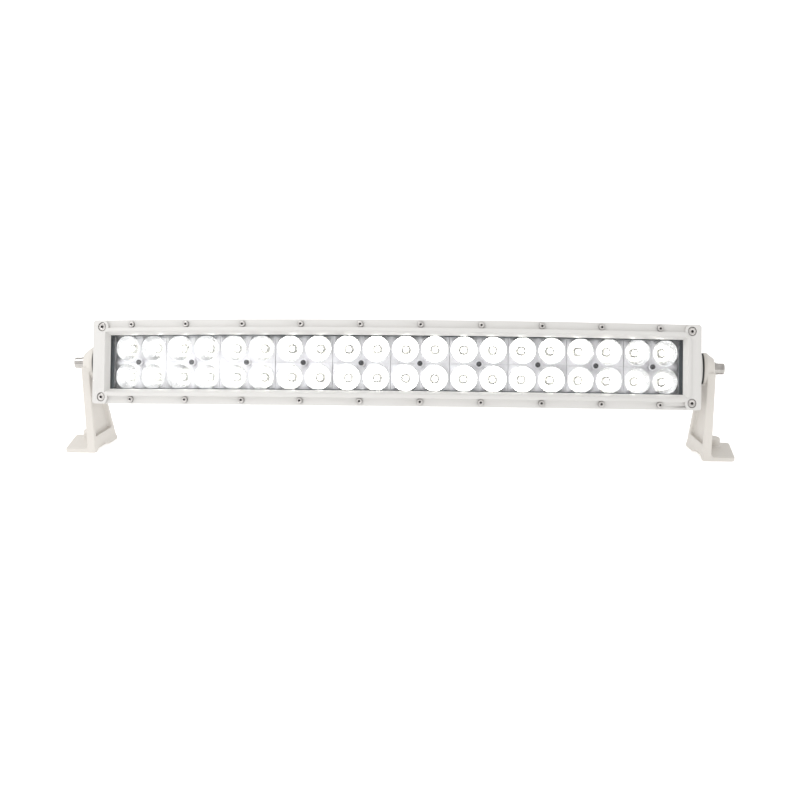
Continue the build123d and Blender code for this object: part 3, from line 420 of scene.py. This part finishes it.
silvered = finish("silvered", moulded, 0.000003,
                  {"Colour": (0.88, 0.88, 0.89, 1), "Stipple Scale": 260, "Roughness": 0.24},
                  Metallic=1.0)
web_silver = finish("web_silver", moulded, 0.0006,
                    {"Colour": (0.86, 0.845, 0.875, 1), "Stipple Scale": 700, "Roughness": 0.42},
                    Metallic=1.0)
mouth_radius = 0.0112
throat_radius = 0.0039
lip_round = 0.00035
cell_side = column_pitch - 0.00015
web_thickness = 0.0095
end_rim = 0.0016
boss_radius = 0.0034
boss_height = 0.0025
rings = 10
focus = (mouth_radius ** 2 - throat_radius ** 2) / (4 * cup_length)
throat_rise = throat_radius ** 2 / (4 * focus)
bpy.ops.object.select_all(action="DESELECT")
bpy.ops.mesh.primitive_circle_add(vertices=48, radius=throat_radius, location=(0, 0, -cup_length))
cell = bpy.context.object
bpy.ops.object.transform_apply(location=True)
bpy.ops.object.mode_set(mode="EDIT")
radius = throat_radius
for ring in range(1, rings + 1):
    rise = cup_length * ring / rings
    wider = math.sqrt(4 * focus * (throat_rise + rise))
    bpy.ops.mesh.extrude_region_move(TRANSFORM_OT_translate={"value": (0, 0, cup_length / rings)})
    bpy.ops.transform.resize(value=(wider / radius, wider / radius, 1))
    radius = wider
bpy.ops.mesh.extrude_region_move()
bpy.ops.transform.resize(value=(1 + lip_round / radius, 1 + lip_round / radius, 1))
bpy.ops.mesh.extrude_region_move(TRANSFORM_OT_translate={"value": (0, 0, -lip_round)})
bpy.ops.transform.resize(value=(1 + lip_round / radius, 1 + lip_round / radius, 1))
bpy.ops.mesh.extrude_region_move()
bpy.ops.object.mode_set(mode="OBJECT")
for vertex in cell.data.vertices:
    if vertex.select:
        reach = cell_side / 2 / max(abs(vertex.co.x), abs(vertex.co.y))
        vertex.co.x *= reach
        vertex.co.y *= reach
bpy.ops.object.mode_set(mode="EDIT")
bpy.ops.mesh.extrude_region_move(TRANSFORM_OT_translate={"value": (0, 0, -web_thickness)})
bpy.ops.mesh.select_all(action="SELECT")
bpy.ops.mesh.normals_make_consistent(inside=False)
bpy.ops.object.mode_set(mode="OBJECT")
cell.data.materials.append(silvered)
cell.data.materials.append(web_silver)
for face in cell.data.polygons:
    spot = face.center
    face.material_index = int(math.hypot(spot.x, spot.y) > mouth_radius + 2 * lip_round)
bpy.ops.object.shade_smooth_by_angle(angle=math.radians(50))
cups = repeat(cell, "cup_blocks", lamp_spots(cup_mouth_depth), "light_bar")

bpy.ops.object.select_all(action="DESELECT")
bpy.ops.mesh.primitive_cylinder_add(vertices=32, radius=boss_radius, depth=boss_height,
                                    location=(0, 0, boss_height / 2))
boss = bpy.context.object
bpy.ops.object.transform_apply(location=True)
bpy.ops.object.mode_set(mode="EDIT")
bpy.ops.mesh.select_all(action="SELECT")
bpy.ops.mesh.bevel(offset=0.0004, segments=3)
bpy.ops.object.mode_set(mode="OBJECT")
boss.data.materials.append(web_silver)
bpy.ops.object.shade_smooth_by_angle(angle=math.radians(50))
bosses = repeat(boss, "cup_block_bosses", module_spots(cup_mouth_depth), "light_bar")

bpy.ops.object.select_all(action="DESELECT")
bpy.ops.mesh.primitive_cube_add(size=1, location=(0, 0, -cup_length / 2),
                                scale=(end_rim, 2 * column_pitch - 0.0003, cup_length))
rim = bpy.context.object
bpy.ops.object.transform_apply(location=True, rotation=True, scale=True)
rim.data.materials.append(web_silver)
rim_shift = column_pitch + end_rim / 2 - 0.00015
rims = repeat(rim, "cup_block_rims", [module_spots(cup_mouth_depth, -rim_shift)[0],
                                      module_spots(cup_mouth_depth, rim_shift)[-1]], "light_bar")
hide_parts("reflectors")
dark_steel = finish("dark_steel", drawn_metal, 0.00001,
                    {"Colour": (0.06, 0.06, 0.065, 1), "Roughness": 0.4}, Metallic=1.0)
dress("reflector_screws", dark_steel)

# ---- lens -------------------------------------------------------------------------------
# One curved sheet of clear polycarbonate, faintly blue-green where it is seen edge on.

lens_clear = bpy.data.materials.new("lens_clear")
lens_clear.use_nodes = True
lens_tree = lens_clear.node_tree
lens_shader = lens_tree.nodes["Principled BSDF"]
for socket, value in (("Base Color", (0.985, 0.995, 0.995, 1)), ("Roughness", 0.02), ("IOR", 1.5),
                      ("Transmission Weight", 1.0)):
    lens_shader.inputs[socket].default_value = value
ray = add_node(lens_tree, "ShaderNodeLightPath")
through = add_node(lens_tree, "ShaderNodeBsdfTransparent", Color=(0.95, 0.965, 0.965, 1))
pick = add_node(lens_tree, "ShaderNodeMixShader")
lens_tree.links.new(ray.outputs["Is Shadow Ray"], pick.inputs[0])
lens_tree.links.new(lens_shader.outputs[0], pick.inputs[1])
lens_tree.links.new(through.outputs[0], pick.inputs[2])
lens_tree.links.new(pick.outputs[0], lens_tree.nodes["Material Output"].inputs["Surface"])
dress("lens", lens_clear)

# ---- front bezel and its screws ---------------------------------------------------------
# A cast frame with a raised lip round the lens, screwed down through the ledges above and
# below it and at its four corners.


def ease_edges(name, width, angle=40):
    """Round the sharp edges of a CAD node a little, as paint or tumbling does."""
    weld = nodes[name].modifiers.new("weld", "WELD")
    weld.merge_threshold = 0.00001
    bevel = nodes[name].modifiers.new("ease", "BEVEL")
    bevel.width = width
    bevel.segments = 2
    bevel.limit_method = "ANGLE"
    bevel.angle_limit = math.radians(angle)
    bevel.harden_normals = True


dress("front_bezel", white_coat)
ease_edges("front_bezel", 0.0004)
screw_steel = finish("screw_steel", drawn_metal, 0.00001,
                     {"Colour": (0.62, 0.60, 0.585, 1), "Roughness": 0.36}, Metallic=1.0)
# A near-black colour used as painted shade in screw sockets and in the gap round screw heads.
screw_shade = finish("screw_shade", moulded, 0.00002,
               {"Colour": (0.05, 0.045, 0.045, 1), "Stipple Scale": 1800, "Roughness": 0.8})
dress("end_cap_screws", screw_steel)


def cad_copy(name, ending):
    """A copy of a CAD node's mesh as a piece of its own, with its points merged."""
    bpy.ops.object.select_all(action="DESELECT")
    piece = nodes[name].copy()
    piece.data = nodes[name].data.copy()
    piece.name = name + ending
    piece.parent = None
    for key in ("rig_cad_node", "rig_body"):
        if key in piece:
            del piece[key]
    bpy.context.scene.collection.objects.link(piece)
    bpy.context.view_layer.objects.active = piece
    piece.select_set(True)
    bpy.ops.object.mode_set(mode="EDIT")
    bpy.ops.mesh.select_all(action="SELECT")
    bpy.ops.mesh.remove_doubles(threshold=0.00001)
    bpy.ops.object.mode_set(mode="OBJECT")
    piece.data.materials.clear()
    return piece


def screws_with_painted_shade(name, spots, head_radius, head_height, flats):
    """Screws with painted shade, a near-black colour, in their sockets and round the lower edge of
    their heads.
    """
    socket_reach = 0.6 * flats
    rim_reach = 0.96 * head_radius
    piece = cad_copy(name, "_painted_shade")
    piece.data.materials.append(screw_steel)
    piece.data.materials.append(screw_shade)
    for face in piece.data.polygons:
        spot = min(spots, key=lambda place: (place.translation - face.center).length_squared)
        inside = spot.inverted() @ face.center
        reach = math.hypot(inside.x, inside.y)
        in_socket = reach < socket_reach and inside.z < head_height - 0.0001
        on_lower_edge = reach > rim_reach and inside.z < head_height / 2
        # Faces inside the socket and on the lower edge of the head take the painted shade.
        face.material_index = int(in_socket or on_lower_edge)
    bpy.ops.object.shade_smooth_by_angle(angle=math.radians(35))
    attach(piece, "light_bar")
    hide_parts(name)


corner_inset = 0.0086
corner_height = 0.0316
corner_depth = 0.0034
corner_spots = [on_bar(end * (end_angle - corner_inset), corner_depth, 0, level * corner_height)
                for end in (-1, 1) for level in (-1, 1)]
screws_with_painted_shade("bezel_corner_screws", corner_spots, head_radius=0.0036, head_height=0.0023,
             flats=0.0025)

rail_screws = 10
rail_margin = 0.0377
rail_height = 0.0335
rail_depth = 0.0032
rail_pitch = 2 * (end_angle * arc_radius - rail_margin) / (rail_screws - 1)
rail_spots = [on_bar((place - (rail_screws - 1) / 2) * rail_pitch, rail_depth, 0, level * rail_height)
              for place in range(rail_screws) for level in (-1, 1)]
screws_with_painted_shade("bezel_rail_screws", rail_spots, head_radius=0.00275, head_height=0.0017, flats=0.0020)

# ---- side brackets ----------------------------------------------------------------------
# Cast aluminium arms with a round hub above and a flat foot below, in the same coat over
# a coarser cast skin, its colour made a little warmer and darker as painted shade.

# The white coat's colour made warmer and a little darker: painted shade on the brackets.
cast_coat_with_painted_shade = finish("cast_coat_with_painted_shade", powder_coat, 0.00006,
                   {"Colour": (0.67, 0.64, 0.60, 1), "Peel Scale": 600, "Roughness": 0.36,
                    "Dust": 0.16}, Coat_Weight=0.1, Coat_Roughness=0.3)


def cast_bracket(name, body):
    """The CAD bracket with every edge softened, as sand casting leaves it."""
    piece = cad_copy(name, "_casting")
    skin = piece.modifiers.new("skin", "REMESH")
    skin.mode = "VOXEL"
    skin.voxel_size = 0.0006
    skin.use_smooth_shade = True
    bpy.ops.object.modifier_apply(modifier="skin")
    soften = piece.modifiers.new("soften", "SMOOTH")
    soften.factor = 0.5
    soften.iterations = 3
    bpy.ops.object.modifier_apply(modifier="soften")
    piece.data.materials.append(cast_coat_with_painted_shade)
    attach(piece, body)
    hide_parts(name)


cast_bracket("left_bracket", "left_mount")
cast_bracket("right_bracket", "right_mount")

# ---- foot inserts and pivot bolts -------------------------------------------------------
# Threaded steel inserts in the feet, and stainless socket screws with a washer, a spring
# washer and a black nylon pad at each pivot.

stainless = finish("stainless", drawn_metal, 0.00001,
                   {"Colour": (0.48, 0.46, 0.44, 1), "Roughness": 0.25}, Metallic=1.0)
for name in ("left_thread_insert", "right_thread_insert", "pivot_bolts", "pivot_washers",
             "pivot_spring_washers"):
    dress(name, stainless)
black_nylon = finish("black_nylon", moulded, 0.00002,
                     {"Colour": (0.02, 0.02, 0.02, 1), "Stipple Scale": 1400, "Roughness": 0.55})
dress("pivot_pads", black_nylon)

# ---- cable gland and breather -----------------------------------------------------------
# Black nylon fittings screwed into the back of the housing. The breather holds a disc of
# white felt that lets air in and keeps water out.

for name in ("cable_gland", "gland_cap_nut", "breather_vent"):
    dress(name, black_nylon)

felt = finish("felt", moulded, 0.00006,
              {"Colour": (0.7, 0.7, 0.7, 1), "Stipple Scale": 3000, "Roughness": 0.95})
dress("vent_membrane", felt)
